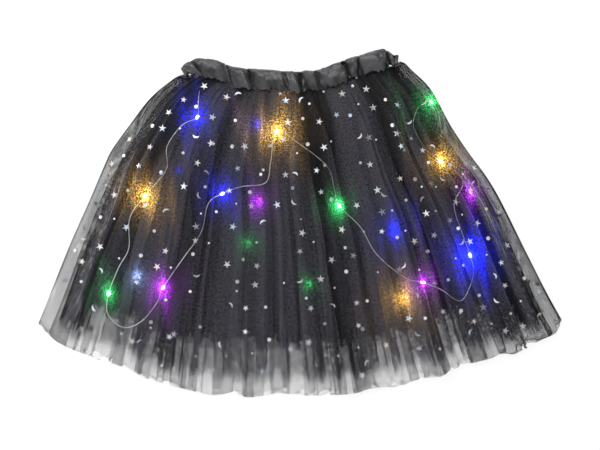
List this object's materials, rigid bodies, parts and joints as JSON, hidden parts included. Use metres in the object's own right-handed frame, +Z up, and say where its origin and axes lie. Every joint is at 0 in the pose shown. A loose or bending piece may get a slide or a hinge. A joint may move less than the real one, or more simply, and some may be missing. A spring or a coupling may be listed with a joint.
{
  "type": "tulle skirt",
  "caption": "Child's black tulle skirt laid flat, with star-printed outer tulle, under tulle, lining, shirred satin waistband and a string of coloured lamps.",
  "frame": {"origin": "middle of the laid skirt's outline, on the surface that it rests on", "axes": "+X across the skirt to the viewer's right, +Y from the hem towards the waistband, +Z up from the surface through back and front"},
  "size_m": [0.4978, 0.3295, 0.0348],
  "materials": {
    "printed_tulle": "sheer charcoal net with silver foil stars, moons and dots",
    "plain_tulle": "sheer charcoal net",
    "lining": "soft black lining cloth",
    "satin_band": "shirred black satin",
    "silver_wire": "thin lacquered silver wire",
    "lamp_drop": "clear resin drop",
    "battery_case": "moulded black plastic"
  },
  "bodies": {
    "root": {"battery_case": "battery_case", "lamp_01": "lamp_drop", "lamp_02": "lamp_drop", "lamp_03": "lamp_drop", "lamp_04": "lamp_drop", "lamp_05": "lamp_drop", "lamp_06": "lamp_drop", "lamp_07": "lamp_drop", "lamp_08": "lamp_drop", "lamp_09": "lamp_drop", "lamp_10": "lamp_drop", "lamp_11": "lamp_drop", "lamp_12": "lamp_drop", "lamp_13": "lamp_drop", "lamp_14": "lamp_drop", "lamp_15": "lamp_drop", "lamp_16": "lamp_drop", "lamp_17": "lamp_drop", "lamp_18": "lamp_drop", "lamp_19": "lamp_drop", "lamp_20": "lamp_drop", "lining_back": "lining", "lining_front": "lining", "outer_tulle_back": "printed_tulle", "outer_tulle_front": "printed_tulle", "under_tulle_back": "plain_tulle", "under_tulle_front": "plain_tulle", "waistband": "satin_band", "wire_01": "silver_wire", "wire_02": "silver_wire", "wire_03": "silver_wire", "wire_04": "silver_wire", "wire_05": "silver_wire", "wire_06": "silver_wire", "wire_07": "silver_wire", "wire_08": "silver_wire", "wire_09": "silver_wire", "wire_10": "silver_wire", "wire_11": "silver_wire", "wire_12": "silver_wire", "wire_13": "silver_wire", "wire_14": "silver_wire", "wire_15": "silver_wire", "wire_16": "silver_wire", "wire_17": "silver_wire", "wire_18": "silver_wire", "wire_19": "silver_wire", "wire_20": "silver_wire"}
  },
  "joints": []
}
